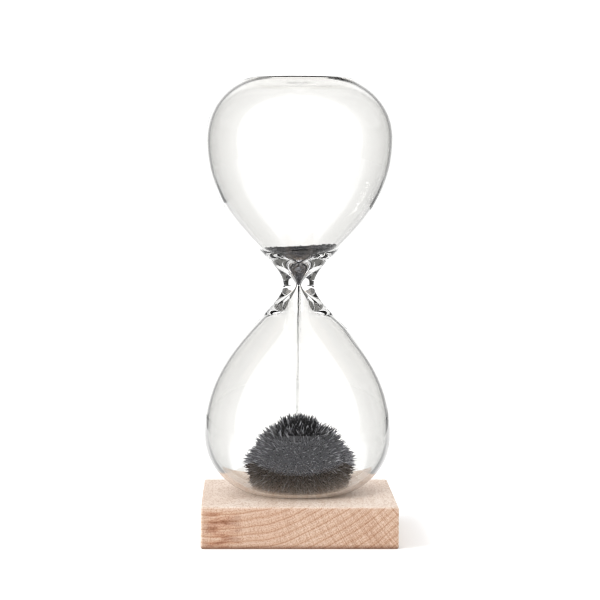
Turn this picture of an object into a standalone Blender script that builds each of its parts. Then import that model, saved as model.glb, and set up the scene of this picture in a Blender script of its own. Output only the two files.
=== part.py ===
# Magnetic hourglass. A blown glass of iron filings stands loose on a wooden block, and a
# magnet glued into the block's underside makes the fallen filings stand up in spikes.
# Metres, +Z up. The origin is the centre of the block's underside.

import math
import random

import bmesh
import bpy
from mathutils import Vector

# Clearance that pieces which touch or fit each other keep
FIT_GAP = 0.0003

# Wooden block
BLOCK_WIDTH = 0.064
BLOCK_DEPTH = 0.064
BLOCK_HEIGHT = 0.0136
BLOCK_EDGE_RADIUS = 0.0007

# Magnet in a pocket that is bored from below, with the glue that holds it
MAGNET_RADIUS = 0.015
MAGNET_THICKNESS = 0.009
MAGNET_CHAMFER = 0.0004
MAGNET_RECESS = 0.0005
GLUE_THICKNESS = 0.0005

# Glass. Its bulbs are blown to one width, and the lower one comes out a little taller
LOWER_BULB_HEIGHT = 0.0700
UPPER_BULB_HEIGHT = 0.0689
BULB_RADIUS = 0.0314
BULB_END_TO_WIDEST = 0.0207
END_FLAT_RADIUS = 0.016
WAIST_RADIUS = 0.0051
WALL = 0.0014
# How far the profile runs straight before it bends, at the waist, the widest ring and the end
NECK_PULL = 0.0091
BELLY_PULL = 0.0269
HEEL_PULL = 0.0151
END_PULL = 0.0023

# Bore through the waist, in solid glass, and the funnel that opens from it into each bulb
BORE_RADIUS = 0.00065
FUNNEL_HEIGHT = 0.010
BORE_PULL = 0.0055
FUNNEL_PULL = 0.004

# Hole that the filings are poured through, at the top, and its bead of melted glass
FILL_HOLE_RADIUS = 0.0022
SEAL_DROOP = 0.0006

# Filings still in the upper bulb
RESERVE_HEIGHT = 0.0124
RESERVE_DISH = 0.0006
RESERVE_TOP_RINGS = 4
RESERVE_STRAND_LENGTH = 0.0008

# Filings on the lower bulb's floor: nearly a ball, cut off by the floor, with a crown where
# the grains land and a shoulder round its side
MOUND_RADIUS = 0.0169
MOUND_CENTRE_HEIGHT = 0.0042
CROWN_RISE = 0.0013
CROWN_SPREAD = math.radians(22)
SHOULDER_RISE = 0.0007
SHOULDER_ANGLE = math.radians(66)
SHOULDER_SPREAD = math.radians(14)
STRAND_LENGTH = 0.0026
STRAND_SHORTEST = 0.75
STRAND_LONGEST = 1.12
# Strands grow to their full length over this height, because the floor stunts the lowest
STRAND_FULL_HEIGHT = 0.007
STRAND_ROOT_SHARE = 0.42
MOUND_POINTS = 172
MOUND_RIM_POINTS = 40

# Facets
TURNED_SEGMENTS = 48
RESERVE_SEGMENTS = 24
STREAM_SEGMENTS = 12
CURVE_STEPS = 6
BEVEL_SEGMENTS = 3
MERGE_DISTANCE = 0.000001

# Heights that follow from the sizes above
WAIST_Z = BLOCK_HEIGHT + FIT_GAP + LOWER_BULB_HEIGHT
POCKET_RADIUS = MAGNET_RADIUS + FIT_GAP + GLUE_THICKNESS + FIT_GAP
POCKET_DEPTH = MAGNET_RECESS + MAGNET_THICKNESS + FIT_GAP + GLUE_THICKNESS + FIT_GAP
GRAIN_RADIUS = BORE_RADIUS - FIT_GAP


def clear_scene():
    for item in list(bpy.data.objects):
        bpy.data.objects.remove(item, do_unlink=True)


def make_material(name, colour, roughness, metallic=0.0, transmission=0.0):
    material = bpy.data.materials.new(name)
    material.use_nodes = True
    shader = material.node_tree.nodes["Principled BSDF"]
    shader.inputs["Base Color"].default_value = (*colour, 1.0)
    shader.inputs["Roughness"].default_value = roughness
    shader.inputs["Metallic"].default_value = metallic
    shader.inputs["Transmission Weight"].default_value = transmission
    return material


def place(name, mesh, material, parent=None):
    mesh.materials.append(material)
    item = bpy.data.objects.new(name, mesh)
    bpy.context.scene.collection.objects.link(item)
    item.parent = parent
    return item


def smooth(mesh, angle=40):
    mesh.shade_smooth()
    mesh.set_sharp_from_angle(angle=math.radians(angle))


def bezier(start, start_handle, end_handle, end, steps):
    """Points along a cubic curve, each (radius, height)."""
    corners = [Vector(corner) for corner in (start, start_handle, end_handle, end)]
    points = []
    for step in range(steps + 1):
        t = step / steps
        weights = ((1 - t) ** 3, 3 * (1 - t) ** 2 * t, 3 * (1 - t) * t**2, t**3)
        points.append(sum((w * c for w, c in zip(weights, corners)), Vector((0, 0))))
    return points


def moved_in(points, distance):
    """The curve shifted square to itself, to the left of the way that it runs."""
    shifted = []
    for i, point in enumerate(points):
        before = points[max(i - 1, 0)]
        after = points[min(i + 1, len(points) - 1)]
        along = (after - before).normalized()
        shifted.append(point + Vector((-along.y, along.x)) * distance)
    return shifted


def crossing(points, height):
    """Where a rising profile passes a height."""
    for under, over in zip(points, points[1:]):
        if under.y <= height < over.y:
            return under.lerp(over, (height - under.y) / (over.y - under.y))
    raise ValueError("the profile doesn't reach that height")


def above(points, height):
    return [crossing(points, height)] + [point for point in points if point.y > height]


def below(points, height):
    return [point for point in points if point.y < height] + [crossing(points, height)]


def outer_half(height):
    """The outside of a bulb this high, from the waist up to the flat end's rim."""
    belly = height - BULB_END_TO_WIDEST
    side = bezier(
        (WAIST_RADIUS, 0),
        (WAIST_RADIUS, NECK_PULL),
        (BULB_RADIUS, belly - BELLY_PULL),
        (BULB_RADIUS, belly),
        2 * CURVE_STEPS,
    )
    heel = bezier(
        (BULB_RADIUS, belly),
        (BULB_RADIUS, belly + HEEL_PULL),
        (END_FLAT_RADIUS + END_PULL, height),
        (END_FLAT_RADIUS, height),
        CURVE_STEPS,
    )
    return side + heel[1:]


def inner_half(height):
    """The inside of the same bulb: the funnel that opens from the bore, then an even wall."""
    wall = above(moved_in(outer_half(height), WALL), FUNNEL_HEIGHT)
    mouth, beyond = wall[:2]
    along = (beyond - mouth).normalized()
    funnel = bezier(
        (BORE_RADIUS, 0),
        (BORE_RADIUS, BORE_PULL),
        mouth - along * FUNNEL_PULL,
        mouth,
        CURVE_STEPS,
    )
    return funnel + wall[1:]


def mirrored(points):
    """The same profile below the waist, in the order that runs back up to it."""
    return [Vector((point.x, -point.y)) for point in reversed(points)]


def turn(profile, segments):
    """A bmesh of a profile of (radius, height) points turned a full circle about Z."""
    bm = bmesh.new()
    verts = [bm.verts.new((radius, 0, height)) for radius, height in profile]
    edges = [bm.edges.new(pair) for pair in zip(verts, verts[1:])]
    bmesh.ops.spin(
        bm,
        geom=verts + edges,
        cent=(0, 0, 0),
        axis=(0, 0, 1),
        angle=math.tau,
        steps=segments,
        use_merge=True,
    )
    bmesh.ops.remove_doubles(bm, verts=bm.verts, dist=MERGE_DISTANCE)
    bmesh.ops.recalc_face_normals(bm, faces=bm.faces)
    return bm


def to_mesh(bm, name):
    mesh = bpy.data.meshes.new(name)
    bm.to_mesh(mesh)
    bm.free()
    smooth(mesh)
    return mesh


def raise_strands(bm, faces, length_at, focus, seed):
    """Turns each face into a strand that points away from the focus, so none can cross."""
    rng = random.Random(seed)
    bmesh.ops.inset_individual(bm, faces=faces, thickness=MERGE_DISTANCE)
    for face in faces:
        centre = face.calc_center_median()
        for vert in face.verts:
            vert.co = centre.lerp(vert.co, STRAND_ROOT_SHARE)
    tips = bmesh.ops.poke(bm, faces=faces)["verts"]
    for tip in tips:
        away = (tip.co - focus).normalized()
        tip.co += away * length_at(tip.co) * rng.uniform(STRAND_SHORTEST, STRAND_LONGEST)
    return len(tips)


def build_block(wood):
    bm = bmesh.new()
    bmesh.ops.create_cube(bm, size=1)
    bmesh.ops.scale(bm, vec=(BLOCK_WIDTH, BLOCK_DEPTH, BLOCK_HEIGHT), verts=bm.verts)
    bmesh.ops.translate(bm, vec=(0, 0, BLOCK_HEIGHT / 2), verts=bm.verts)
    block = place("base_block", to_mesh(bm, "base_block"), wood)
    edges = block.modifiers.new("eased_edges", "BEVEL")
    edges.width = BLOCK_EDGE_RADIUS
    edges.segments = BEVEL_SEGMENTS
    edges.limit_method = "ANGLE"

    pocket = [(0, POCKET_DEPTH), (POCKET_RADIUS, POCKET_DEPTH)]
    pocket += [(POCKET_RADIUS, -POCKET_DEPTH), (0, -POCKET_DEPTH)]
    drill = place("pocket_drill", to_mesh(turn(pocket, TURNED_SEGMENTS), "pocket_drill"), wood)
    drill.hide_render = True
    drill.display_type = "WIRE"
    cut = block.modifiers.new("magnet_pocket", "BOOLEAN")
    cut.operation = "DIFFERENCE"
    cut.solver = "EXACT"
    cut.object = drill


def build_magnet(ferrite, glue):
    low = MAGNET_RECESS
    high = low + MAGNET_THICKNESS
    shy = MAGNET_RADIUS - MAGNET_CHAMFER
    disc = [(0, high), (shy, high), (MAGNET_RADIUS, high - MAGNET_CHAMFER)]
    disc += [(MAGNET_RADIUS, low + MAGNET_CHAMFER), (shy, low), (0, low)]
    place("magnet", to_mesh(turn(disc, TURNED_SEGMENTS), "magnet"), ferrite)

    inner = MAGNET_RADIUS + FIT_GAP
    outer = inner + GLUE_THICKNESS
    roof = high + FIT_GAP
    cup = [(0, roof + GLUE_THICKNESS), (outer, roof + GLUE_THICKNESS), (outer, low)]
    cup += [(inner, low), (inner, roof), (0, roof)]
    place("magnet_adhesive", to_mesh(turn(cup, TURNED_SEGMENTS), "magnet_adhesive"), glue)


def build_glass(glass, pivot):
    inside = inner_half(UPPER_BULB_HEIGHT)
    roof = UPPER_BULB_HEIGHT - WALL
    profile = [Vector((0, WALL - LOWER_BULB_HEIGHT))]
    profile += mirrored(inner_half(LOWER_BULB_HEIGHT))
    profile += inside[1:]
    profile += [Vector((FILL_HOLE_RADIUS, roof)), Vector((FILL_HOLE_RADIUS, UPPER_BULB_HEIGHT))]
    profile += list(reversed(outer_half(UPPER_BULB_HEIGHT)))
    profile += mirrored(outer_half(LOWER_BULB_HEIGHT)[1:])[::-1]
    profile += [Vector((0, -LOWER_BULB_HEIGHT))]
    place("glass_body", to_mesh(turn(profile, TURNED_SEGMENTS), "glass_body"), glass, pivot)

    bead = FILL_HOLE_RADIUS - FIT_GAP
    droop = bezier((0, roof - SEAL_DROOP), (bead / 2, roof - SEAL_DROOP), (bead, roof), (bead, roof), 5)
    seal = droop + [Vector((bead, UPPER_BULB_HEIGHT)), Vector((0, UPPER_BULB_HEIGHT))]
    place("glass_seal", to_mesh(turn(seal, TURNED_SEGMENTS // 2), "glass_seal"), glass, pivot)


def build_reserve(iron, pivot):
    """The filings that are still to fall. They fill the funnel, and only the middle of their
    rough level top is bare, where the grains run down."""
    wall = moved_in(inner_half(UPPER_BULB_HEIGHT), FIT_GAP)
    side = below(above(wall, GRAIN_RADIUS + FIT_GAP), RESERVE_HEIGHT)
    rim = side[-1]
    top = []
    for ring in range(1, RESERVE_TOP_RINGS + 1):
        share = 1 - ring / RESERVE_TOP_RINGS
        top.append(Vector((rim.x * share, rim.y - RESERVE_DISH * (1 - share**2))))
    bm = turn([Vector((0, side[0].y))] + side + top, RESERVE_SEGMENTS)
    bare = rim.x / RESERVE_TOP_RINGS
    surface = []
    for face in bm.faces:
        centre = face.calc_center_median()
        if face.normal.z > 0.5 and centre.xy.length > bare:
            surface.append(face)
    focus = Vector((0, 0, -LOWER_BULB_HEIGHT))
    count = raise_strands(bm, surface, lambda root: RESERVE_STRAND_LENGTH, focus, seed=5)
    place("filings_reserve", to_mesh(bm, "filings_reserve"), iron, pivot)
    return count


def mound_radius(polar):
    """Distance from the mound's centre to its surface, at an angle from straight up."""
    crown = CROWN_RISE * math.exp(-((polar / CROWN_SPREAD) ** 2))
    shoulder = SHOULDER_RISE * math.exp(-(((polar - SHOULDER_ANGLE) / SHOULDER_SPREAD) ** 2))
    return MOUND_RADIUS + crown + shoulder


def mound_directions():
    """Unit vectors spread evenly from straight up to the rim, and a ring of them on it."""
    lowest = -MOUND_CENTRE_HEIGHT / MOUND_RADIUS
    golden = math.pi * (3 - math.sqrt(5))
    spread = []
    for i in range(MOUND_POINTS):
        spread.append((1 - (1 - lowest) * (i + 0.5) / MOUND_POINTS, i * golden))
    for i in range(MOUND_RIM_POINTS):
        spread.append((lowest, math.tau * i / MOUND_RIM_POINTS))
    directions = []
    for z, angle in spread:
        across = math.sqrt(1 - z * z)
        directions.append(Vector((across * math.cos(angle), across * math.sin(angle), z)))
    return directions


def floor_depth(radius):
    """How far below the waist a flat disc of this radius comes to lie in the lower bulb."""
    heel = list(reversed(inner_half(LOWER_BULB_HEIGHT)))
    if radius <= heel[0].x:
        return heel[0].y
    for inner, outer in zip(heel, heel[1:]):
        if inner.x <= radius < outer.x:
            return inner.y + (outer.y - inner.y) * (radius - inner.x) / (outer.x - inner.x)
    raise ValueError("the disc is wider than the bulb")


def mound_centre():
    """Height of the mound's centre over the waist: its flat underside is on the glass floor."""
    base = math.sqrt(MOUND_RADIUS**2 - MOUND_CENTRE_HEIGHT**2)
    return MOUND_CENTRE_HEIGHT + FIT_GAP - floor_depth(base)


def build_mound(iron, pivot):
    """The fallen filings: a hull round evenly spread points, with a strand on each facet."""
    bm = bmesh.new()
    for direction in mound_directions():
        bm.verts.new(direction)
    bmesh.ops.convex_hull(bm, input=bm.verts)
    rim = -MOUND_CENTRE_HEIGHT / MOUND_RADIUS
    for vert in bm.verts:
        polar = math.acos(max(-1.0, min(1.0, vert.co.z)))
        vert.co *= MOUND_RADIUS if vert.co.z <= rim + 0.0001 else mound_radius(polar)
    bmesh.ops.recalc_face_normals(bm, faces=bm.faces)
    floor = -MOUND_CENTRE_HEIGHT
    dome = [face for face in bm.faces if face.calc_center_median().z > floor + FIT_GAP]

    def strand_length(root):
        return STRAND_LENGTH * min(1.0, 0.2 + (root.z - floor) / STRAND_FULL_HEIGHT)

    count = raise_strands(bm, dome, strand_length, Vector((0, 0, 0)), seed=3)
    bmesh.ops.translate(bm, vec=(0, 0, mound_centre()), verts=bm.verts)
    place("filings_mound", to_mesh(bm, "filings_mound"), iron, pivot)
    return count


def build_falling(iron, pivot, lift):
    """The pinch of grains in the bore, and the thread of them that falls to the crown."""
    bm = bmesh.new()
    bmesh.ops.create_icosphere(bm, subdivisions=2, radius=GRAIN_RADIUS)
    place("filings_throat", to_mesh(bm, "filings_throat"), iron, lift)

    start = -GRAIN_RADIUS - FIT_GAP
    crown = mound_centre() + MOUND_RADIUS + CROWN_RISE
    finish = crown + STRAND_LENGTH * STRAND_LONGEST + FIT_GAP
    thread = [(0, start), (GRAIN_RADIUS, start - GRAIN_RADIUS), (GRAIN_RADIUS, finish), (0, finish)]
    place("filings_stream", to_mesh(turn(thread, STREAM_SEGMENTS), "filings_stream"), iron, pivot)


def make_empty(name, height, parent=None):
    empty = bpy.data.objects.new(name, None)
    bpy.context.scene.collection.objects.link(empty)
    empty.parent = parent
    empty.location = (0, 0, height)
    return empty


def main():
    clear_scene()
    wood = make_material("beech", (0.72, 0.55, 0.41), 0.55)
    ferrite = make_material("ferrite", (0.07, 0.07, 0.08), 0.5, metallic=0.3)
    glue = make_material("glue", (0.80, 0.72, 0.52), 0.35)
    glass = make_material("clear_glass", (0.95, 0.97, 0.97), 0.02, transmission=1.0)
    iron = make_material("iron_filings", (0.09, 0.09, 0.10), 0.6, metallic=0.6)

    # The glass lifts off the block, and turns over about a level line through its waist
    lift = make_empty("glass_lift", WAIST_Z)
    turning = make_empty("glass_turn", 0, lift)

    build_block(wood)
    build_magnet(ferrite, glue)
    build_glass(glass, turning)
    strands = build_reserve(iron, turning) + build_mound(iron, turning)
    build_falling(iron, turning, lift)
    print(f"strands of filings: {strands}")


main()
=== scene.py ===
# Magnetic hourglass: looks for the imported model, in metres, +Z up.
# Clear blown glass, iron filings that stand up over a hidden magnet, and a beech block.
import math

import bpy
import numpy as np
from mathutils import Matrix, Vector


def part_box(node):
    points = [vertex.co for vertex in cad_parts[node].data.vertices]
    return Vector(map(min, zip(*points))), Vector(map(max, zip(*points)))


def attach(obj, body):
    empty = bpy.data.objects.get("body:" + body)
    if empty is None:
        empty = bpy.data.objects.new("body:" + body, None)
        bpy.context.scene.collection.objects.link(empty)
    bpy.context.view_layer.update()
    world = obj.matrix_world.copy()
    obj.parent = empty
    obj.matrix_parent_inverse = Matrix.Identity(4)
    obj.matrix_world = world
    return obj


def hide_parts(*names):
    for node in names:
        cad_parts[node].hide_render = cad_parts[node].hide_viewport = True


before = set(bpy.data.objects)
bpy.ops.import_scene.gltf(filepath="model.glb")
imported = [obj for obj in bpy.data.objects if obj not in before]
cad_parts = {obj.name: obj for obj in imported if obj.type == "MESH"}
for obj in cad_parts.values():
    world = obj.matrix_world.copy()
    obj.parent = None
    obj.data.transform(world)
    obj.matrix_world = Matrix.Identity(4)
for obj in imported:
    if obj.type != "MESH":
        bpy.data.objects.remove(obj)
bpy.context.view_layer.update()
print("frame loaded:", len(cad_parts), "nodes")

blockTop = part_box("base_block")[1].z
glassLow, glassHigh = (corner.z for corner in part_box("glass_body"))
waistHeight = sum(corner.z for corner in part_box("filings_throat")) / 2


def makePiece(name, points, faces, material, body, smooth=True, toneAndPaintedLight=None):
    # points is (n, 3); faces is a list of (m, sides) integer arrays; the last argument is the tone and
    # painted light, one number a point
    mesh = bpy.data.meshes.new(name)
    sides = np.concatenate([np.full(len(f), f.shape[1]) for f in faces])
    loops = np.concatenate([f.ravel() for f in faces]).astype(np.int32)
    mesh.vertices.add(len(points))
    mesh.vertices.foreach_set("co", np.asarray(points, np.float32).ravel())
    mesh.loops.add(len(loops))
    mesh.loops.foreach_set("vertex_index", loops)
    mesh.polygons.add(len(sides))
    starts = np.concatenate([[0], np.cumsum(sides)[:-1]]).astype(np.int32)
    mesh.polygons.foreach_set("loop_start", starts)
    mesh.update(calc_edges=True)
    mesh.validate()
    if toneAndPaintedLight is not None:
        layer = mesh.attributes.new("toneAndPaintedLight", "FLOAT", "POINT")
        layer.data.foreach_set("value", np.asarray(toneAndPaintedLight, np.float32))
    mesh.polygons.foreach_set("use_smooth", np.full(len(mesh.polygons), smooth))
    mesh.materials.append(material)
    piece = bpy.data.objects.new(name, mesh)
    bpy.context.scene.collection.objects.link(piece)
    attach(piece, body)
    return piece


def cubicCurve(a, b, c, d, steps):
    # the usual cubic blend of four corners, as a (steps + 1, 2) array of radius and height
    t = np.linspace(0, 1, steps + 1)[:, None]
    a, b, c, d = (np.array(p, float) for p in (a, b, c, d))
    return (1 - t) ** 3 * a + 3 * (1 - t) ** 2 * t * b + 3 * (1 - t) * t * t * c + t**3 * d


def turned(radius, height, angles):
    # points round the axis: radius times cosine and sine of the angle, and the height
    x, y, z = np.broadcast_arrays(radius * np.cos(angles), radius * np.sin(angles), height)
    return np.stack([x, y, z], -1).reshape(-1, 3)


def closedFaces(rings, segments):
    # quads between neighbouring rings and a fan to a pole at each end; the first pole is point
    # 0, the rings follow it and the other pole comes last
    j = np.arange(segments)
    k = (j + 1) % segments
    first = np.arange(rings - 1)[:, None] * segments + 1
    after = first + segments
    quads = np.stack([first + j, first + k, after + k, after + j], -1).reshape(-1, 4)
    last = rings * segments + 1
    start = last - segments
    low = np.stack([np.zeros_like(j), k + 1, j + 1], 1)
    high = np.stack([start + j, start + k, np.full_like(j, last)], 1)
    return [quads, np.vstack([low, high])]


def unit(vectors):
    # each row divided by its length
    return vectors / np.linalg.norm(vectors, axis=1)[:, None]


def joined(parts):
    # several (points, faces) pairs as one
    points = np.vstack([part[0] for part in parts])
    faces = []
    shift = 0
    for partPoints, partFaces in parts:
        faces += [f + shift for f in partFaces]
        shift += len(partPoints)
    return points, faces


def grey(value):
    return (value, value, value)


def warmShade(value):
    # a shade that takes more from the green and most from the blue
    return (value, value**1.25, value**1.45)


def newMaterial(name):
    # a material, its node tree and its shader
    material = bpy.data.materials.new(name)
    material.use_nodes = True
    tree = material.node_tree
    return material, tree, tree.nodes["Principled BSDF"]


def setInputs(node, values):
    for name, value in values.items():
        node.inputs[name].default_value = value


def connect(tree, socket, value):
    # a socket takes a link, a colour of three numbers or one number
    if isinstance(value, bpy.types.NodeSocket):
        tree.links.new(value, socket)
    elif isinstance(value, tuple):
        socket.default_value = (*value, 1)
    else:
        socket.default_value = value


def mathNode(tree, operation, *values):
    node = tree.nodes.new("ShaderNodeMath")
    node.operation = operation
    for socket, value in zip(node.inputs, values):
        connect(tree, socket, value)
    return node.outputs[0]


def fade(tree, source, start, end, low=0.0, high=1.0):
    # low at start and high at end, on a straight line between them
    node = tree.nodes.new("ShaderNodeMapRange")
    setInputs(node, {"From Min": start, "From Max": end, "To Min": low, "To Max": high})
    tree.links.new(source, node.inputs["Value"])
    return node.outputs[0]


def rampNode(tree, source, stops):
    # colour ramp from (place, colour) pairs
    node = tree.nodes.new("ShaderNodeValToRGB")
    ramp = node.color_ramp
    while len(ramp.elements) < len(stops):
        ramp.elements.new(0.5)
    for element, (place, colour) in zip(ramp.elements, stops):
        element.position = place
        element.color = (*colour, 1)
    tree.links.new(source, node.inputs[0])
    return node.outputs[0]


def mixColour(tree, kind, share, a, b):
    node = tree.nodes.new("ShaderNodeMix")
    node.data_type = "RGBA"
    node.blend_type = kind
    for socket, value in ((node.inputs[0], share), (node.inputs[6], a), (node.inputs[7], b)):
        connect(tree, socket, value)
    return node.outputs[2]


def noiseNode(tree, vector, scale, detail, roughness=0.5):
    node = tree.nodes.new("ShaderNodeTexNoise")
    setInputs(node, {"Scale": scale, "Detail": detail, "Roughness": roughness})
    tree.links.new(vector, node.inputs["Vector"])
    return node.outputs["Fac"]


def addBump(tree, shader, height, strength, distance):
    node = tree.nodes.new("ShaderNodeBump")
    setInputs(node, {"Strength": strength, "Distance": distance})
    tree.links.new(height, node.inputs["Height"])
    tree.links.new(node.outputs["Normal"], shader.inputs["Normal"])


def coordinates(tree):
    return tree.nodes.new("ShaderNodeTexCoord").outputs


def splitAxes(tree, vector):
    node = tree.nodes.new("ShaderNodeSeparateXYZ")
    tree.links.new(vector, node.inputs[0])
    return node.outputs


def stretched(tree, sources, scales):
    # a vector with each source times its scale
    node = tree.nodes.new("ShaderNodeCombineXYZ")
    for socket, source, scale in zip(node.inputs, sources, scales):
        tree.links.new(mathNode(tree, "MULTIPLY", source, scale), socket)
    return node.outputs[0]


def distanceNode(tree, x, y):
    # the root of the sum of both squares
    squares = [mathNode(tree, "MULTIPLY", value, value) for value in (x, y)]
    return mathNode(tree, "SQRT", mathNode(tree, "ADD", *squares))


def outwardShare(tree, axes, span=0.040):
    # distance from the middle of the object, in shares of 40 mm
    return mathNode(tree, "MULTIPLY", distanceNode(tree, axes[0], axes[1]), 1 / span)


glass = dict(
    # each pull is how far the profile keeps its direction before it bends
    waistRadius=0.0051,
    neckPull=0.0091,
    bellyPull=0.0284,
    bulbRadius=0.0314,
    endToWidest=0.0207,
    heelPull=0.0151,
    endPull=0.0023,
    flatRadius=0.016,
    wall=0.0014,
    boreRadius=0.00052,
    # height, pull at the bore, flare there and pull at the wall of each bulb's funnel
    lowerFunnel=(0.011, 0.0060, 0.10, 0.004),
    upperFunnel=(0.0130, 0.0070, 0.20, 0.0070),
    sealDroop=0.0006,
    sealRadius=0.0024,
    segments=144,
    sideSteps=60,
    heelSteps=36,
    funnelSteps=30,
    flatSteps=9,
    # how far the bulbs stand aside, by height over the foot
    leanHeights=(0.0, 0.021, 0.070, 0.118, 0.1389),
    leanAcross=(0.0, -0.0003, 0.0, 0.0002, 0.0004),
    # shift of the top end, and how far down it reaches
    topShift=-0.0004,
    topDepth=0.016,
    # kink on the right of the lower neck, by height over the waist, full from a radius on
    kinkHeight=-0.0150,
    kinkBulge=0.0005,
    kinkSpread=0.0036,
    kinkReach=0.012,
)

glassLook = dict(
    shader={
        "Roughness": 0.0,
        "IOR": 1.52,
        "Specular Tint": (0.35, 0.35, 0.35, 1),
        "Transmission Weight": 1.0,
    },
    # painted shade for the dark bands along the glass's edges: the clear middle, then the tones next
    # to it and further out for each bulb, which change over this far from the waist
    clearTones=(1.0, 0.99),
    lowerTones=(0.84, 0.775),
    upperTones=(0.865, 0.805),
    toneChange=0.004,
    # places on the slant from square on to edge on, the outermost tones, how much lighter than
    # far the two before them are, and how far red, green and blue lie below the tone
    slants=(0.17, 0.25, 0.262, 0.42, 0.60, 0.80, 0.89, 1.0),
    rimTones=(0.78, 0.62),
    outerLift=(0.035, 0.03),
    colourDrop=(0, 0.003, 0.015),
    # the thick flat ends: their tone, a painted shade, and the heights from the end where it starts
    # and is full
    endTone=(0.78, 0.76, 0.72),
    endShadeDepths=(0.0016, 0.0004),
    # painted contact shadow: how dark the foot is on the wood, by distance from the middle in shares
    # of 40 mm
    footContactShade=((0.24, 1.0), (0.27, 0.42), (0.34, 0.42), (0.38, 0.72), (0.42, 1.0)),
    footShadeDepths=(0.0005, 0.0003),
    waveScale=55.0,
    waveStrength=0.12,
    waveDepth=0.00025,
)


def glassProfiles(height, funnelShape):
    # outside and inside of one bulb as (radius, distance from the waist), waist first: cubic
    # curves from the waist to the widest ring and on to the flat end, the same moved in by the
    # wall, and a cubic funnel from the bore to that
    g = glass
    belly = height - g["endToWidest"]
    side = cubicCurve(
        (g["waistRadius"], 0),
        (g["waistRadius"], g["neckPull"]),
        (g["bulbRadius"], belly - g["bellyPull"]),
        (g["bulbRadius"], belly),
        g["sideSteps"],
    )
    heel = cubicCurve(
        (g["bulbRadius"], belly),
        (g["bulbRadius"], belly + g["heelPull"]),
        (g["flatRadius"] + g["endPull"], height),
        (g["flatRadius"], height),
        g["heelSteps"],
    )
    outside = np.vstack([side, heel[1:]])
    along = unit(np.gradient(outside, axis=0))
    wall = outside + g["wall"] * np.stack([-along[:, 1], along[:, 0]], 1)
    funnelHeight, borePull, flare, funnelPull = funnelShape
    wall = wall[wall[:, 1] > funnelHeight]
    run = wall[1] - wall[0]
    run /= np.linalg.norm(run)
    funnel = cubicCurve(
        (g["boreRadius"], 0),
        (g["boreRadius"] + flare * borePull, borePull),
        wall[0] - run * funnelPull,
        wall[0],
        g["funnelSteps"],
    )
    return outside, np.vstack([funnel, wall[1:]])


def lean(points):
    # the blown bulbs lean a little: sideways by height, with a smooth step to the top end, and
    # the lower neck has a kink, a bell curve by height on the right side
    g = glass
    x, y, height = points.T
    z = height - glassLow
    angle = np.arctan2(y, x)
    kink = np.exp(-(((height - waistHeight - g["kinkHeight"]) / g["kinkSpread"]) ** 2))
    kink *= np.clip(np.cos(angle), 0, 1) ** 3 * g["kinkBulge"]
    kink *= np.clip(np.hypot(x, y) / g["kinkReach"], 0, 1)
    across = np.interp(z, g["leanHeights"], g["leanAcross"])
    rise = np.clip((z - (glassHigh - glassLow)) / g["topDepth"] + 1, 0, 1)
    across += g["topShift"] * rise**2 * (3 - 2 * rise)
    return np.stack([x + (across + kink * np.cos(angle)), y + kink * np.sin(angle), height], 1)


def latheShell(profile, segments):
    # profile turned round Z, with a pole point at each end
    angles = np.arange(segments) * math.tau / segments
    rings = turned(profile[1:-1, :1], profile[1:-1, 1:], angles)
    poles = [[[0, 0, profile[end, 1]]] for end in (0, -1)]
    points = np.vstack([poles[0], rings, poles[1]])
    return points, closedFaces(len(profile) - 2, segments)


def closedProfile(lower, upper, roofDroop):
    # both bulbs' profiles as one, from the middle of the foot to the middle of the top, where
    # the seal hangs in as a bell curve
    g = glass
    steps = np.arange(g["flatSteps"])[:, None] / g["flatSteps"] * [[1, 0]]
    low = lower[::-1] * [1, -1]
    foot = steps * low[0, 0] + [0, low[0, 1]]
    top = steps[::-1] * upper[-1, 0] + [0, upper[-1, 1]]
    top[:, 1] -= roofDroop * np.exp(-((top[:, 0] / g["sealRadius"]) ** 2))
    return np.vstack([foot, low, upper[1:], top]) + [0, waistHeight]


def buildGlass(material):
    # one shell with an outside and an inside
    g = glass
    lowerOut, lowerIn = glassProfiles(waistHeight - glassLow, g["lowerFunnel"])
    upperOut, upperIn = glassProfiles(glassHigh - waistHeight, g["upperFunnel"])
    outPoints, outFaces = latheShell(closedProfile(lowerOut, upperOut, 0), g["segments"])
    inside = closedProfile(lowerIn, upperIn, g["sealDroop"])
    inPoints, inFaces = latheShell(inside, g["segments"])
    points = lean(np.vstack([outPoints, inPoints]))
    inFaces = [f[:, ::-1] + len(outPoints) for f in inFaces]  # the inside faces the hollow
    piece = makePiece("blownGlass", points, outFaces + inFaces, material, "glass")
    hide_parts("glass_body", "glass_seal")
    piece.visible_shadow = False  # light reaches the filings and the block cleanly
    piece.visible_diffuse = False
    print("glass:", len(points), "points")


def paintedSlantShade(tree, slant, tones):
    # painted shade: clear when seen square on, greyer where it is seen aslant
    near, far = tones
    g = glassLook
    outer = (far + lift for lift in g["outerLift"])
    values = (*g["clearTones"], near, far, *outer, *g["rimTones"])
    colours = [tuple(v - drop for drop in g["colourDrop"]) for v in values]
    return rampNode(tree, slant, list(zip(g["slants"], colours)))


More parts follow.
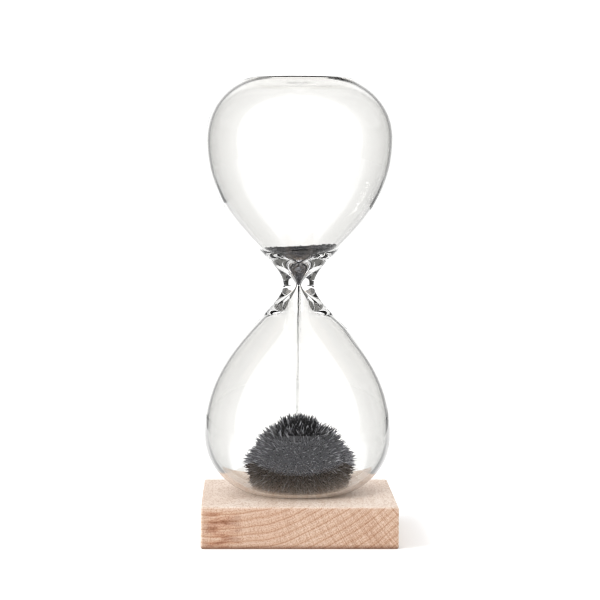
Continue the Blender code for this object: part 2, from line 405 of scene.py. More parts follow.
def glassMaterial():
    # clear glass whose tint is painted shade: by its slant, and by height at the waist, the ends and
    # the foot
    g = glassLook
    material, tree, shader = newMaterial("clearGlass")
    setInputs(shader, g["shader"])
    place = coordinates(tree)["Object"]
    axes = splitAxes(tree, place)
    height = axes[2]
    slant = tree.nodes.new("ShaderNodeLayerWeight").outputs["Facing"]
    upper = fade(tree, height, waistHeight - g["toneChange"], waistHeight + g["toneChange"])
    lowerTone, upperTone = (paintedSlantShade(tree, slant, g[key]) for key in ("lowerTones", "upperTones"))
    tint = mixColour(tree, "MIX", upper, lowerTone, upperTone)
    # painted shade: the thick flat ends are greyer still, which darkens the contact under the foot and
    # the line along the top
    start, full = g["endShadeDepths"]
    low = fade(tree, height, glassLow + start, glassLow + full)
    high = fade(tree, height, glassHigh - start, glassHigh - full)
    tint = mixColour(tree, "MULTIPLY", mathNode(tree, "MAXIMUM", low, high), tint, g["endTone"])
    # painted contact shadow: the foot is darkest in a ring where it lies on the wood
    start, full = g["footShadeDepths"]
    foot = fade(tree, height, glassLow + start, glassLow + full)
    stops = [(at, warmShade(v)) for at, v in g["footContactShade"]]
    footShadeTone = rampNode(tree, outwardShare(tree, axes), stops)
    tint = mixColour(tree, "MULTIPLY", foot, tint, footShadeTone)
    tree.links.new(tint, shader.inputs["Base Color"])
    waves = noiseNode(tree, place, g["waveScale"], detail=1.0, roughness=0.4)
    addBump(tree, shader, waves, g["waveStrength"], g["waveDepth"])
    return material


needle = dict(
    sunk=0.0004,  # how deep its root ring lies
    bend=0.25,  # how far it strays sideways
    bendAt=0.55,  # share of its length where it bends
    bendStray=0.25,
    bendWidth=0.75,
    tipStray=0.1,
    # brightness of its seven points, root ring first, times one random number a needle: painted shade
    # at the root ring, a painted highlight at the tip
    tones=(0.05, 0.05, 0.05, 0.7, 0.7, 0.7, 1.1),
    toneRange=(0.2, 1.0),
    tonePower=1.7,
)


def needleField(roots, ways, lengths, widths, rng):
    # each needle is a three-sided spike: a ring at its root, a thinner ring past its middle
    # that strays sideways by the bend, and a tip
    n = needle
    count = len(roots)
    side = unit(np.cross(ways, rng.normal(size=(count, 3))))
    other = np.cross(ways, side)
    stray = side * rng.normal(size=(count, 1)) + other * rng.normal(size=(count, 1))
    stray *= n["bend"]
    angles = np.arange(3) * math.tau / 3
    circle = side[:, None] * np.cos(angles)[:, None] + other[:, None] * np.sin(angles)[:, None]
    base = roots[:, None] - ways[:, None] * n["sunk"] + circle * widths[:, None, None]
    middle = roots + (ways * n["bendAt"] + stray * n["bendStray"]) * lengths[:, None]
    ring = middle[:, None] + circle * (widths * n["bendWidth"])[:, None, None]
    tips = roots + (ways + stray * n["tipStray"]) * lengths[:, None]
    points = np.concatenate([base, ring, tips[:, None]], 1).reshape(-1, 3)
    first = np.arange(count)[:, None] * len(n["tones"])
    quads = np.array([[0, 1, 4, 3], [1, 2, 5, 4], [2, 0, 3, 5]])
    spikes = np.array([[3, 4, 6], [4, 5, 6], [5, 3, 6], [0, 2, 1]])
    return points, [
        (first[:, None] + quads[None]).reshape(-1, 4),
        (first[:, None] + spikes[None]).reshape(-1, 3),
    ]


def needleToneAndPaintedLight(count, rng):
    # how bright each point of a needle is: painted shade at the root, a painted highlight at the tip,
    # no two alike
    tips = rng.uniform(*needle["toneRange"], count) ** needle["tonePower"]
    return (tips[:, None] * np.array(needle["tones"])).ravel()


def grainCloud(centres, sizes, rng, reaches=(0.6, 1.6)):
    # each grain is an uneven eight-sided chip
    spin = rng.normal(size=(len(centres), 3, 3))
    chip = np.linalg.qr(spin)[0]
    reach = sizes[:, None, None] * chip * rng.uniform(*reaches, (len(centres), 3, 1))
    points = np.concatenate([centres[:, None] + reach, centres[:, None] - reach], 1)
    flip = (np.linalg.det(chip) < 0)[:, None]
    near = [[0, 1, 2], [1, 3, 2], [3, 4, 2], [4, 0, 2]]
    far = [[1, 0, 5], [3, 1, 5], [4, 3, 5], [0, 4, 5]]
    first = np.arange(len(centres))[:, None, None] * 6
    faces = first + np.array(near + far)[None]
    faces = np.where(flip[:, :, None], faces[:, :, ::-1], faces)
    return points.reshape(-1, 3), [faces.reshape(-1, 3)]


def spreadDirections(count, lowest, rng, jitter=0.6, highest=0.9999):
    # even spiral over a sphere from straight up down to a height, each point strayed a little
    i = np.arange(count) + 0.5
    z = 1 - (1 - lowest) * i / count
    angle = i * math.pi * (3 - math.sqrt(5)) + rng.normal(size=count) * jitter / math.sqrt(count)
    z = np.clip(z + rng.normal(size=count) * jitter / math.sqrt(count), lowest, highest)
    across = np.sqrt(1 - z * z)
    return np.stack([across * np.cos(angle), across * np.sin(angle), z], 1)


mound = dict(
    centreRise=0.0045,
    across=0.0006,
    baseRadius=0.0155,
    floorGap=0.0002,
    # how far the needle tips reach from the centre in mm, by angle from straight up
    angles=(0, 14, 21, 27, 33, 44, 53, 62, 69, 77, 82, 88, 99, 110),
    reaches=(21.6, 21.7, 20.6, 18.9, 19.9, 19.7, 19.1, 19.2, 20.0, 19.8, 19.2, 18.6, 18.0, 17.7),
    # unevenness of those angles: size, waves round the axis, waves down the side, shift
    swells=((0.035, 3, 0, 0.7), (0.02, 7, 3, 0)),
    rings=40,
    segments=96,
    rimMargin=0.03,
    rootDepth=0.0003,
    needleLength=0.0030,
    skinDepth=0.92,  # how far the needles root below their tips, in needle lengths
    lengthRange=(0.6, 1.15),
    widthRange=(0.7, 1.4),
    # (how many, share of the length, root radius, tilt, painted glint): stout spikes, then fine
    # needles; the painted glint makes the stout ones brighter than the fine
    kinds=((2300, 1.04, 0.00026, 0.21, 1.1), (3800, 0.66, 0.00015, 0.40, 0.85)),
    # needles point away from a place below the centre, near the floor from further down
    droop=0.003,
    floorDroop=0.0035,
    droopHeight=0.010,
    # needles are shorter on the floor and on the crown
    floorLength=0.75,
    fullLengthRise=0.006,
    crownAbove=0.9,
    crownCrop=0.3,
    shortest=0.15,
    # painted light and shade: how bright the tips are, by height over the glass floor, darkest near it
    paintedLightHeights=(0.0, 0.004, 0.008, 0.011, 0.018, 0.021, 0.024),
    paintedLightShares=(0.50, 0.62, 0.80, 1.10, 1.35, 1.35, 1.35),
    seed=11,
)


def moundSkin(ways):
    # distance from the mound's centre to where the needles root: a ball with a crown cap on top,
    # a shoulder below it and a belly, all a little uneven round the axis
    m = mound
    polar = np.arccos(np.clip(ways[:, 2], -1, 1))
    azimuth = np.arctan2(ways[:, 1], ways[:, 0])
    bent = polar
    for size, around, down, shift in m["swells"]:
        bent = bent + size * np.sin(azimuth * around + polar * down + shift)
    tips = np.interp(np.degrees(bent), m["angles"], m["reaches"]) / 1000
    return tips - m["needleLength"] * m["skinDepth"]


def moundCore(centre, floor, lowest):
    # the skin over a grid of angles from straight up and round the axis, closed by the floor
    m = mound
    polar = np.linspace(0, math.acos(lowest), m["rings"] + 1)[:, None]
    angles = np.arange(m["segments"]) * math.tau / m["segments"]
    ways = turned(np.sin(polar), np.cos(polar), angles)
    shell = ways * moundSkin(ways)[:, None]
    top = shell[:1]
    shell = shell[m["segments"]:]
    shell[-m["segments"]:, 2] = floor - centre[2]
    under = [[0, 0, floor - centre[2]]]
    core = np.vstack([top, shell, under]) + centre
    return core, [f[:, ::-1] for f in closedFaces(m["rings"], m["segments"])]


def moundNeedles(kind, centre, floor, lowest, rng):
    # needles rooted all over the skin, and how bright each of their points is
    m = mound
    count, share, width, tilt, paintedGlint = kind
    ways = spreadDirections(count, lowest + m["rimMargin"], rng)
    roots = centre + ways * (moundSkin(ways)[:, None] - m["rootDepth"])
    height = roots[:, 2] - floor
    droop = m["droop"] + m["floorDroop"] * np.clip(1 - height / m["droopHeight"], 0, 1)
    lines = unit(roots - centre - droop[:, None] * [0, 0, 1])
    lines = unit(lines + rng.normal(size=lines.shape) * tilt)
    lengths = m["needleLength"] * share * rng.uniform(*m["lengthRange"], count)
    lengths *= np.clip(m["floorLength"] + height / m["fullLengthRise"], 0, 1)
    lengths *= 1 - m["crownCrop"] * (ways[:, 2] > m["crownAbove"])
    # no tip goes through the glass floor
    drop = np.maximum(-lines[:, 2] * lengths, 1e-6)
    lengths *= np.clip((height - m["floorGap"]) / drop, m["shortest"], 1)
    widths = width * rng.uniform(*m["widthRange"], count)
    field = needleField(roots, lines, lengths, widths, rng)
    # painted shade: the needles are duller near the floor
    paintedLightByHeight = np.interp(height, m["paintedLightHeights"], m["paintedLightShares"])
    return field, needleToneAndPaintedLight(count, rng) * np.repeat(paintedLightByHeight, len(needle["tones"])) * paintedGlint


def buildMound(material):
    # a core in painted shade, with the stout spikes and the fine needles on it
    m = mound
    rng = np.random.default_rng(m["seed"])
    floor = glassLow + glass["wall"] + m["floorGap"]
    centre = np.array([m["across"], 0, floor + m["centreRise"]])
    lowest = -m["centreRise"] / m["baseRadius"]
    parts = [moundCore(centre, floor, lowest)]
    # the core is at the darkest painted shade
    toneAndPaintedLight = [np.zeros(len(parts[0][0]))]
    for kind in m["kinds"]:
        field, fieldToneAndPaintedLight = moundNeedles(kind, centre, floor, lowest, rng)
        parts.append(field)
        toneAndPaintedLight.append(fieldToneAndPaintedLight)
    points, faces = joined(parts)
    toneAndPaintedLight = np.concatenate(toneAndPaintedLight)
    piece = makePiece("moundFilings", points, faces, material, "glass", smooth=False, toneAndPaintedLight=toneAndPaintedLight)
    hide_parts("filings_mound")
    print("mound:", sum(kind[0] for kind in m["kinds"]), "needles")


reserve = dict(
    height=0.0126,
    slope=0.048,
    dish=0.0008,
    ripple=0.00008,
    rippleWaves=((1500, 0.4), (3700, 0)),  # waves across in radians a metre, and their shift
    rimRadius=0.0118,
    # low in the funnel's cone the grains lie close to the glass, higher up they lie looser
    coneHeight=0.0062,
    coneGap=0.00003,
    gap=0.00012,
    looseRise=0.001,
    sideMargin=0.002,
    tipRadius=0.0004,
    segments=72,
    sideRows=30,
    topRows=14,
    needles=1500,
    needleReach=0.985,
    needleDepth=0.0001,
    needleTilt=0.5,
    needleInward=25,
    needleLength=0.0007,
    lengthRange=(0.3, 1.2),
    needleWidth=0.00012,
    widthRange=(0.7, 1.6),
    chips=2600,
    chipSize=0.00021,
    chipRange=(0.4, 0.8),
    chipPower=0.62,  # below 1 puts more chips high up, where the cone is wider
    # how far chips and body keep inside the wall, in chip sizes, and the least they keep to
    chipInset=0.42,
    wallInset=0.5,
    leastShare=0.9,
    leastRadius=0.0001,
    # painted shade: how bright the body is by height over the waist, duller in the cone
    paintedLightHeights=(0.005, 0.007, 0.010, 0.0125),
    paintedLightShares=(0.14, 0.30, 0.30, 0.20),
    seed=5,
)


def looseness(height):
    return np.clip((height - reserve["coneHeight"]) / reserve["looseRise"], 0, 1)


def reserveSide():
    # the funnel's inside as (radius, height over the waist), moved in by the gap
    s = reserve
    inside = glassProfiles(glassHigh - waistHeight, glass["upperFunnel"])[1]
    side = inside[inside[:, 1] < s["height"] + s["sideMargin"]]
    gap = s["coneGap"] + (s["gap"] - s["coneGap"]) * looseness(side[:, 1])
    side = np.stack([side[:, 0] - gap, side[:, 1]], 1)
    return side[side[:, 0] > s["tipRadius"]]


def buildReserve(material):
    # rows climb the funnel's wall to a sloping rim, then cross the dished, rippled top to its
    # middle; grains stand on the top and chips lie against the glass
    s = reserve
    rng = np.random.default_rng(s["seed"])
    side = reserveSide()
    foot = side[0, 1]
    segments = s["segments"]
    angles = np.arange(segments) * math.tau / segments

    def wallRadius(height):
        return np.interp(height, side[:, 1], side[:, 0])

    def roundTheAxis(turn, values):
        return np.interp(turn, np.append(angles, math.tau), np.append(values, values[0]))

    rims = wallRadius(s["height"] + s["slope"] * s["rimRadius"] * np.cos(angles))
    meanRim = rims.mean()

    def topHeight(x, radius):
        ripples = sum(s["ripple"] * np.sin(x * waves + shift) for waves, shift in s["rippleWaves"])
        dish = s["dish"] * (1 - np.clip(radius / meanRim, 0, 1) ** 2)
        return s["height"] + s["slope"] * x - dish + ripples

    rimZ = topHeight(rims * np.cos(angles), rims)
    wallZ = foot + (rimZ - foot) * np.linspace(0, 1, s["sideRows"])[:, None]
    wallR = wallRadius(wallZ)
    inset = s["chipSize"] * s["wallInset"] * looseness(wallZ)
    wallR = np.maximum(wallR - inset, wallR * s["leastShare"])
    topR = wallR[-1] * np.linspace(1, 0, s["topRows"])[1:-1, None]
    topZ = topHeight(topR * np.cos(angles), topR)
    radius = np.vstack([wallR, topR])
    ends = np.array([[0, 0, foot], [0, 0, topHeight(0, 0)]])
    grid = turned(radius, np.vstack([wallZ, topZ]), angles)
    core = np.vstack([ends[:1], grid, ends[1:]])

    count = s["needles"]
    reach = np.sqrt(rng.uniform(0.0, 1, count)) * s["needleReach"]
    turn = rng.uniform(0, math.tau, count)
    r = reach * roundTheAxis(turn, wallR[-1])
    roots = turned(r, topHeight(r * np.cos(turn), r) - s["needleDepth"], turn)
    ways = rng.normal(size=roots.shape) * s["needleTilt"] + [0, 0, 1.0]
    ways[:, :2] -= roots[:, :2] * s["needleInward"]
    ways = unit(ways)
    ways[:, 2] = np.abs(ways[:, 2])
    lengths = s["needleLength"] * rng.uniform(*s["lengthRange"], count)
    widths = s["needleWidth"] * rng.uniform(*s["widthRange"], count)

    up = rng.uniform(0.0, 1.0, s["chips"]) ** s["chipPower"]
    turn = rng.uniform(0, math.tau, s["chips"])
    z = foot + (roundTheAxis(turn, rimZ) - foot) * up
    r = np.maximum(wallRadius(z) - s["chipSize"] * s["chipInset"], s["leastRadius"])
    sizes = s["chipSize"] * rng.uniform(*s["chipRange"], s["chips"])
    chips = grainCloud(turned(r, z, turn), sizes, rng)
    standing = needleField(roots, ways, lengths, widths, rng)
    points, faces = joined([(core, closedFaces(len(radius), segments)), standing, chips])

    # painted shade on the body by height; the needles carry painted shade and highlight, the chips a
    # random tone
    toneAndPaintedLight = np.interp(points[:, 2], s["paintedLightHeights"], s["paintedLightShares"])
    body, grown = len(core), len(core) + len(standing[0])
    toneAndPaintedLight[body:grown] = needleToneAndPaintedLight(count, rng)
    toneAndPaintedLight[grown:] = np.repeat(rng.uniform(0, 1, s["chips"]) ** 2, 6)  # a chip has six points
    points = lean(points + [0, 0, waistHeight])
    piece = makePiece("reserveFilings", points, faces, material, "glass", smooth=False, toneAndPaintedLight=toneAndPaintedLight)
    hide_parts("filings_reserve")
    print("reserve:", count, "grains on top")


falling = dict(
    drops=(0.0005, 0.002, 0.006, 0.010, 0.015, 0.021, 0.045),  # how far below the waist
    crowding=(130, 110, 66, 56, 32, 24, 23),  # grains in a millimetre there
    grainSize=0.00008,
    grainRange=(0.6, 1.3),
    # the thread starts at a share of its spread and has all of it from this far below the waist
    spread=0.00038,
    startShare=0.5,
    spreadDrop=0.012,
    across=0.0001,
    acrossDrop=0.004,
    # turn between one grain and the next, and step through the shares of the spread
    turn=2.39996,
    step=0.61803,
    widest=0.95,
    heightSteps=400,
    toneAndPaintedLight=0.2,
    seed=8,
)

throat = dict(grains=300, reach=0.00011, grainRange=(0.7, 1.2), toneAndPaintedLight=0.3)


def buildFalling(material):
    # grains speed up, so they thin out as they fall: their heights follow the crowding's sum
    s = falling
    rng = np.random.default_rng(s["seed"])
    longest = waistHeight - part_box("filings_mound")[1].z
    drop = np.linspace(s["drops"][0], longest, s["heightSteps"])
    crowding = np.interp(drop, s["drops"], s["crowding"]) * 1000
    total = np.concatenate([[0], np.cumsum((crowding[1:] + crowding[:-1]) / 2 * np.diff(drop))])
    count = int(total[-1])
    order = np.arange(count)
    shares = (order + rng.uniform(0, 1, count)) / count
    fallen = np.interp(shares * total[-1], total, drop)
    start = s["startShare"]
    spread = s["spread"] * (start + (1 - start) * np.clip(fallen / s["spreadDrop"], 0, 1))
    # an even spiral keeps the thread straight: far out from the axis few grains, near it many
    turn = order * s["turn"]
    out = spread * np.sqrt(-2 * np.log(1 - (order * s["step"]) % 1 * s["widest"]))
    centres = turned(out, waistHeight - fallen, turn)
    centres[:, 0] += s["across"] * np.clip(fallen / s["acrossDrop"], 0, 1)
    sizes = s["grainSize"] * rng.uniform(*s["grainRange"], count)
    points, faces = grainCloud(centres, sizes, rng)
    toneAndPaintedLight = np.full(len(points), s["toneAndPaintedLight"])
    points = lean(points)
    piece = makePiece("fallingFilings", points, faces, material, "glass", smooth=False, toneAndPaintedLight=toneAndPaintedLight)
    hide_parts("filings_stream")

    t = throat
    centres = rng.normal(size=(t["grains"], 3)) * t["reach"]
    sizes = s["grainSize"] * rng.uniform(*t["grainRange"], len(centres))
    points, faces = grainCloud(centres + [0, 0, waistHeight], sizes, rng)
    toneAndPaintedLight = np.full(len(points), t["toneAndPaintedLight"])
    piece = makePiece("throatFilings", points, faces, material, "waist", smooth=False, toneAndPaintedLight=toneAndPaintedLight)
    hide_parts("filings_throat")
    print("falling grains:", count)


filings = dict(
    grainScale=2600.0,
    grainTones=((0.30, (0.45, 0.45, 0.46)), (0.55, grey(0.8)), (0.75, grey(1.0))),
    # colour by each point's tone and painted light, from the roots in painted shade to the tips as
    # painted highlights
    toneAndPaintedLightColours=((0.0, (0.006, 0.006, 0.007)), (0.3, (0.070, 0.070, 0.075)), (1.0, (0.55, 0.55, 0.58))),
    shader={"Metallic": 0.6, "Roughness": 0.5, "Specular IOR Level": 0.25},
    bumpStrength=0.4,
    bumpDepth=0.0001,
)


def filingsMaterial():
    # dark iron with a fine grain, coloured by each point's tone and painted shade and highlight
    f = filings
    material, tree, shader = newMaterial("ironFilings")
    setInputs(shader, f["shader"])
    fine = noiseNode(tree, coordinates(tree)["Object"], f["grainScale"], detail=2.0)
    toneAndPaintedLight = tree.nodes.new("ShaderNodeAttribute")
    toneAndPaintedLight.attribute_name = "toneAndPaintedLight"
    tipTone = rampNode(tree, toneAndPaintedLight.outputs["Fac"], f["toneAndPaintedLightColours"])
    colour = mixColour(tree, "MULTIPLY", 1.0, tipTone, rampNode(tree, fine, f["grainTones"]))
    tree.links.new(colour, shader.inputs["Base Color"])
    addBump(tree, shader, fine, f["bumpStrength"], f["bumpDepth"])
    return material


beech = dict(
    pithAcross=-0.027,
    pithHeight=0.078,
    warpScale=38.0,
    warpReach=0.0045,
    ringWidth=0.0023,
    ringTones=(
        (0.0, (0.66, 0.52, 0.41)), (0.10, (0.76, 0.66, 0.565)), (0.25, (0.80, 0.725, 0.65)),
        (0.75, (0.77, 0.67, 0.575)), (0.92, (0.70, 0.575, 0.465)), (1.0, (0.53, 0.385, 0.28)),
    ),
    # fainter, finer lines between the rings: how many to a ring
    fineRings=2.63,
    fineTones=((0.0, (0.85, 0.79, 0.74)), (0.22, grey(1)), (0.80, grey(1)), (1.0, (0.85, 0.79, 0.74))),
    fineShare=0.8,
    # rays are stretched outwards from the pith, round it and along it, and show more to the right
    rayStretch=(60.0, 260.0, 320.0),
    rayTones=((0.36, (0.64, 0.51, 0.41)), (0.50, (0.86, 0.80, 0.75)), (0.60, grey(1))),
    rayEnds=(-0.012, 0.018),
    rayShares=(0.25, 0.68),
    # the top is cut along the fibres and sanded, so its rings hardly show
    topTone=(0.705, 0.608, 0.534),
    topShare=0.7,
    poreStretch=(1.0, 0.30, 1.0),
    poreScale=2100.0,
    poreTones=((0.36, (0.66, 0.52, 0.42)), (0.52, grey(1))),
    poreShare=0.65,
    # a redder, darker streaked patch on the left, where the wood was nearest its heart
    streakStretch=(620.0, 12.0, 12.0),
    streakTones=((0.38, (1, 0.98, 0.95)), (0.50, (0.84, 0.70, 0.62)), (0.64, (0.50, 0.33, 0.25))),
    heartLeft=(-0.0318, -0.0290),
    heartRight=(-0.0175, -0.0240),
    heartBelowTop=(0.0, 0.0016),
    # painted shade along the lower edges, where the block stands on the table
    baseShadeHeights=(0.0015, 0.0003),
    baseShadeTone=(0.42, 0.31, 0.24),
    broadScale=26.0,
    broadTones=((0.35, (0.86, 0.76, 0.70)), (0.65, grey(1))),
    broadShare=0.6,
    # painted shade: how dark the wood is where the glass stands, by distance from the middle in shares
    # of 40 mm
    paintedStandShade=((0.0, 0.80), (0.40, 0.80), (0.43, 0.79), (0.47, 0.86), (0.56, 0.92), (0.70, 1.0)),
    # the front and back are end grain, which drinks more oil
    endTone=(0.77, 0.645, 0.572),
    endPower=3.0,
    shader={"Roughness": 0.55, "Specular IOR Level": 0.35},
    bumpStrength=0.35,
    bumpDepth=0.0001,
)


def pithPlace(tree, place, axes):
    # warped distance from the pith line, which runs front to back above the block, and the
    # angle round it
    b = beech
    x = mathNode(tree, "SUBTRACT", axes[0], b["pithAcross"])
    z = mathNode(tree, "SUBTRACT", axes[2], b["pithHeight"])
    warp = noiseNode(tree, place, b["warpScale"], detail=2.0)
    warp = mathNode(tree, "MULTIPLY", warp, b["warpReach"])
    radius = mathNode(tree, "ADD", distanceNode(tree, x, z), warp)
    return radius, mathNode(tree, "ARCTAN2", z, x)


def beechMaterial():
    # growth rings are cylinders round the pith line, rays are thin sheets that run out from it,
    # and the fibres follow it
    b = beech
    material, tree, shader = newMaterial("oiledBeech")
    setInputs(shader, b["shader"])
    outputs = coordinates(tree)
    place = outputs["Object"]
    axes = splitAxes(tree, place)
    facing = splitAxes(tree, outputs["Normal"])
    radius, angle = pithPlace(tree, place, axes)
    roundPith = (radius, angle, axes[1])

    def toned(share, colour, source, tones):
        # a colour times a ramp of the source, as strongly as the share says
        return mixColour(tree, "MULTIPLY", share, colour, rampNode(tree, source, tones))

    rings = mathNode(tree, "DIVIDE", radius, b["ringWidth"])
    colour = rampNode(tree, mathNode(tree, "FRACT", rings), b["ringTones"])
    fine = mathNode(tree, "FRACT", mathNode(tree, "MULTIPLY", rings, b["fineRings"]))
    colour = toned(b["fineShare"], colour, fine, b["fineTones"])
    rays = noiseNode(tree, stretched(tree, roundPith, b["rayStretch"]), scale=1.0, detail=2.0)
    rayShare = fade(tree, axes[0], *b["rayEnds"], *b["rayShares"])
    colour = toned(rayShare, colour, rays, b["rayTones"])
    upward = mathNode(tree, "MAXIMUM", facing[2], 0.0)
    topShare = mathNode(tree, "MULTIPLY", upward, b["topShare"])
    colour = mixColour(tree, "MIX", topShare, colour, b["topTone"])

    pores = tree.nodes.new("ShaderNodeMapping")
    pores.inputs["Scale"].default_value = b["poreStretch"]
    tree.links.new(place, pores.inputs["Vector"])
    pore = noiseNode(tree, pores.outputs[0], b["poreScale"], detail=2.0)
    colour = toned(b["poreShare"], colour, pore, b["poreTones"])

    streaks = stretched(tree, roundPith, b["streakStretch"])
    streaks = noiseNode(tree, streaks, scale=1.0, detail=3.0)
    right, left = (fade(tree, axes[0], *b[key]) for key in ("heartRight", "heartLeft"))
    heart = mathNode(tree, "MULTIPLY", right, left)
    below = fade(tree, axes[2], *(blockTop - depth for depth in b["heartBelowTop"]))
    colour = toned(mathNode(tree, "MULTIPLY", heart, below), colour, streaks, b["streakTones"])
    # painted shade along the bottom of the block
    baseShade = fade(tree, axes[2], *b["baseShadeHeights"])
    colour = mixColour(tree, "MULTIPLY", baseShade, colour, b["baseShadeTone"])

    broad = noiseNode(tree, place, b["broadScale"], detail=3.0)
    colour = toned(b["broadShare"], colour, broad, b["broadTones"])
    # painted shade on the top round where the glass stands
    paintedStandShade = [(at, warmShade(v)) for at, v in b["paintedStandShade"]]
    colour = toned(upward, colour, outwardShare(tree, axes), paintedStandShade)
    endGrain = mathNode(tree, "POWER", mathNode(tree, "ABSOLUTE", facing[1]), b["endPower"])
    colour = mixColour(tree, "MULTIPLY", endGrain, colour, b["endTone"])
    tree.links.new(colour, shader.inputs["Base Color"])
    addBump(tree, shader, pore, b["bumpStrength"], b["bumpDepth"])
    return material


# noise scale and detail, its darkest and lightest tones, the shader, and the bump's strength
# and depth, for the two plain materials in the block's pocket
ferrite = dict(
    noise=(900.0, 4.0),
    tones=((0.3, (0.012, 0.012, 0.014)), (0.7, (0.045, 0.045, 0.05))),
    shader={"Metallic": 0.3, "Roughness": 0.42},
    bump=(0.3, 0.0001),
)
glue = dict(
    noise=(220.0, 3.0),
    tones=((0.3, (0.50, 0.40, 0.20)), (0.7, (0.66, 0.56, 0.34))),
    shader={"Roughness": 0.35},
    bump=(0.4, 0.0002),
)


def cloudyMaterial(name, look):
    # one noise both colours and roughens it
    material, tree, shader = newMaterial(name)
    setInputs(shader, look["shader"])
    cloud = noiseNode(tree, coordinates(tree)["Object"], *look["noise"])
    tree.links.new(rampNode(tree, cloud, look["tones"]), shader.inputs["Base Color"])
    addBump(tree, shader, cloud, *look["bump"])
    return material


def dressNode(name, material):
    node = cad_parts[name]
    node.data.materials.clear()
    node.data.materials.append(material)


# shares run from straight behind the object, 0, to straight in front of it, 1
room = dict(
    backLight=1.20,
    sideLight=0.03,
    sideGloss=0.19,
    dimTint=(1, 0.99, 0.93),
    panelLight=1.0,
    frontGlow=0.25,
    # where the white wall ends, the dim side starts and ends, and the panel starts and ends
    edges=(0.165, 0.195, 0.515, 0.53, 0.83, 0.848),
    # a brighter strip at the left end of the dark front
    stripLight=1.6,
    stripEdges=(0.72, 0.77, 0.843, 0.848),
    # below this height the front is dark
    lowFront=(-0.10, -0.06),
    # a dark frame round the white wall, which draws the glass's outline, darkest at the top
    backWidth=0.13,
    borderWidth=0.2,
    borderLight=0.40,
    frontLight=0.03,
    topFrameRise=(0.22, 0.34),
    topFrameAcross=0.09,
    topFrameHalf=0.14,
)

table = dict(
    front=-1.2,
    back=0.6,
    side=0.60,
    colour=0.88,
    # in reflections: behind the object, next to that, at its sides, in front
    inGloss=(0.9, 0.50, 0.30, 0.88),
    frontTint=(1, 1, 1.1),
    glow=1.0,
    edgeBlur=0.015,
    besideEdges=(0.22, 0.26),
    frontEdges=(0.50, 0.53),
    clearHalf=0.2,
    shader={"Emission Color": (1, 1, 1, 1), "Roughness": 0.9, "Specular IOR Level": 0.1},
)

lamp = dict(place=(-0.9, -0.5, 0.9), way=(0.9, 0.5, -0.86), size=0.5, power=9.0)


def backShare(tree, source):
    # how far round a direction or place is from straight behind the object: 0 there, 1 in front
    axes = splitAxes(tree, source)
    azimuth = mathNode(tree, "ABSOLUTE", mathNode(tree, "ARCTAN2", axes[0], axes[1]))
    return mathNode(tree, "DIVIDE", azimuth, math.pi)


def mirroredRay(tree, path):
    # 1 on rays that a glossy surface has mirrored
    return mathNode(tree, "GREATER_THAN", path["Glossy Depth"], 0.5)


def secondWall(tree, path):
    # 1 on rays that have gone in and out of one thickness of glass
    solid = mathNode(tree, "COMPARE", path["Transmission Depth"], 2.0)
    solid.node.inputs[2].default_value = 0.5
    return solid


def tableMaterial():
    # white to the eye, but shaded by direction in the glass's reflections
    t = table
    material, tree, shader = newMaterial("paleTable")
    setInputs(shader, t["shader"])
    path = tree.nodes.new("ShaderNodeLightPath").outputs
    mirrored = mirroredRay(tree, path)
    place = coordinates(tree)["Object"]
    share = backShare(tree, place)
    behind, border, beside, before = t["inGloss"]
    edge = room["backWidth"]
    places = (edge, edge + t["edgeBlur"], *t["besideEdges"], *t["frontEdges"])
    tones = [grey(v) for v in (behind, border, border, beside, beside)]
    tones.append(tuple(before * tint for tint in t["frontTint"]))
    tone = rampNode(tree, share, list(zip(places, tones)))
    colour = mixColour(tree, "MIX", mirrored, grey(t["colour"]), tone)
    # far aside it is dim where the glass bends the view
    outside = mathNode(tree, "ABSOLUTE", splitAxes(tree, place)[0])
    outside = mathNode(tree, "GREATER_THAN", outside, t["clearHalf"])
    outside = mathNode(tree, "MULTIPLY", outside, secondWall(tree, path))
    colour = mixColour(tree, "MIX", outside, colour, grey(room["sideLight"]))
    tree.links.new(colour, shader.inputs["Base Color"])
    # painted light: the front of the table glows in the glass's reflections
    glow = rampNode(tree, share, list(zip(t["frontEdges"], (grey(0), grey(t["glow"])))))
    glow = mathNode(tree, "MULTIPLY", glow, mirrored)
    tree.links.new(glow, shader.inputs["Emission Strength"])
    return material


def buildTable():
    t = table
    mesh = bpy.data.meshes.new("tableTop")
    side, near, far = t["side"], t["front"], t["back"]
    corners = [(-side, near, 0), (side, near, 0), (side, far, 0), (-side, far, 0)]
    mesh.from_pydata(corners, [], [(0, 1, 2, 3)])
    floor = bpy.data.objects.new("tableTop", mesh)
    bpy.context.scene.collection.objects.link(floor)
    mesh.materials.append(tableMaterial())


def roomTone(tree, share, side):
    # the white wall behind, a dim side, a lamp panel and the dark front
    r = room
    dim = tuple(side * tint for tint in r["dimTint"])
    white, panel, dark = (grey(r[key]) for key in ("backLight", "panelLight", "frontGlow"))
    return rampNode(tree, share, list(zip(r["edges"], (white, dim, dim, panel, panel, dark))))


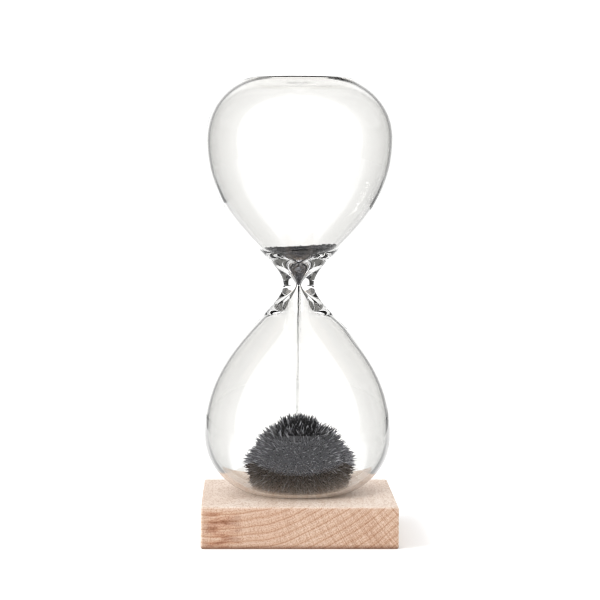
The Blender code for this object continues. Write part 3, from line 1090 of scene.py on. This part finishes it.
def buildWorld():
    # white all round, but what the gloss reflects is a dim room with a white wall behind the
    # object and a lamp panel on each side
    r = room
    world = bpy.data.worlds.new("studio")
    bpy.context.scene.world = world
    world.use_nodes = True
    tree = world.node_tree
    around = coordinates(tree)["Generated"]
    axes = splitAxes(tree, around)
    share = backShare(tree, around)
    path = tree.nodes.new("ShaderNodeLightPath").outputs
    mirrored = mirroredRay(tree, path)
    bentTone, glossTone = (roomTone(tree, share, r[key]) for key in ("sideLight", "sideGloss"))
    tone = mixColour(tree, "MIX", mirrored, bentTone, glossTone)
    strip = rampNode(tree, share, list(zip(r["stripEdges"], map(grey, (0, 1, 1, 0)))))
    strip = mathNode(tree, "MULTIPLY", strip, mathNode(tree, "LESS_THAN", axes[0], 0.0))
    strip = mathNode(tree, "MULTIPLY", strip, mirrored)
    tone = mixColour(tree, "MIX", strip, tone, grey(r["stripLight"]))
    low = mathNode(tree, "SUBTRACT", 1.0, fade(tree, axes[2], *r["lowFront"]))
    low = mathNode(tree, "MULTIPLY", mathNode(tree, "GREATER_THAN", share, 0.5), low)
    tone = mixColour(tree, "MIX", low, tone, grey(r["frontGlow"]))

    inner, outer = (math.cos(math.pi * r[key]) for key in ("backWidth", "borderWidth"))
    border = mathNode(tree, "LESS_THAN", axes[1], inner)
    border = mathNode(tree, "MULTIPLY", border, mathNode(tree, "GREATER_THAN", axes[1], outer))
    border = mathNode(tree, "MULTIPLY", border, mirrored)
    aside = mathNode(tree, "SUBTRACT", axes[0], r["topFrameAcross"])
    central = mathNode(tree, "LESS_THAN", mathNode(tree, "ABSOLUTE", aside), r["topFrameHalf"])
    central = mathNode(tree, "MULTIPLY", central, fade(tree, axes[2], *r["topFrameRise"]))
    sideFrame, topFrame = grey(r["borderLight"]), grey(r["frontLight"])
    frameTone = mixColour(tree, "MIX", central, sideFrame, topFrame)
    tone = mixColour(tree, "MIX", border, tone, frameTone)

    # the room shows only to rays that the glass or the gloss has turned, not to diffuse light
    bent = mathNode(tree, "MAXIMUM", mirrored, secondWall(tree, path))
    direct = mathNode(tree, "LESS_THAN", path["Diffuse Depth"], 0.5)
    fromGloss = mathNode(tree, "MAXIMUM", path["Is Glossy Ray"], path["Is Transmission Ray"])
    seen = mathNode(tree, "MULTIPLY", mathNode(tree, "MULTIPLY", bent, direct), fromGloss)
    colour = mixColour(tree, "MIX", seen, grey(r["backLight"]), tone)
    tree.links.new(colour, tree.nodes["Background"].inputs["Color"])


def buildLamp():
    light = bpy.data.lights.new("keyLamp", "AREA")
    light.shape = "RECTANGLE"
    light.size = lamp["size"]
    light.size_y = lamp["size"]
    light.energy = lamp["power"]
    key = bpy.data.objects.new("keyLamp", light)
    bpy.context.scene.collection.objects.link(key)
    key.location = lamp["place"]
    key.rotation_euler = Vector(lamp["way"]).to_track_quat("-Z", "Y").to_euler()
    key.visible_glossy = False


view = dict(
    place=(-0.01761, -0.74995, 0.12611),
    yaw=1.382,
    pitch=3.625,
    roll=0.211,
    lens=134.72,
)


def buildCamera():
    # yaw turns it to the right and pitch down, both in degrees, and roll turns the picture
    v = view
    yaw, pitch, roll = (math.radians(v[key]) for key in ("yaw", "pitch", "roll"))
    level = math.cos(pitch)
    ahead = np.array([math.sin(yaw) * level, math.cos(yaw) * level, -math.sin(pitch)])
    right = np.array([math.cos(yaw), -math.sin(yaw), 0])
    up = np.cross(right, ahead)
    side = right * math.cos(roll) + up * math.sin(roll)
    top = -right * math.sin(roll) + up * math.cos(roll)
    lens = bpy.data.cameras.new("photoCamera")
    lens.lens = v["lens"]
    lens.sensor_width = 36
    lens.clip_start = 0.01
    camera = bpy.data.objects.new("photoCamera", lens)
    bpy.context.scene.collection.objects.link(camera)
    turn = Matrix(np.stack([side, top, -ahead], 1).tolist()).to_4x4()
    camera.matrix_world = Matrix.Translation(v["place"]) @ turn
    bpy.context.scene.camera = camera


buildGlass(glassMaterial())
ironFilings = filingsMaterial()
buildMound(ironFilings)
buildReserve(ironFilings)
buildFalling(ironFilings)
dressNode("base_block", beechMaterial())
dressNode("magnet", cloudyMaterial("groundFerrite", ferrite))
dressNode("magnet_adhesive", cloudyMaterial("setGlue", glue))
buildTable()
buildWorld()
buildLamp()
buildCamera()
scene = bpy.context.scene
scene.view_settings.view_transform = "Standard"
scene.cycles.max_bounces = 24
scene.cycles.transmission_bounces = 20
scene.cycles.glossy_bounces = 12
scene.cycles.diffuse_bounces = 4
scene.cycles.filter_width = 1.1

print("scene ready")
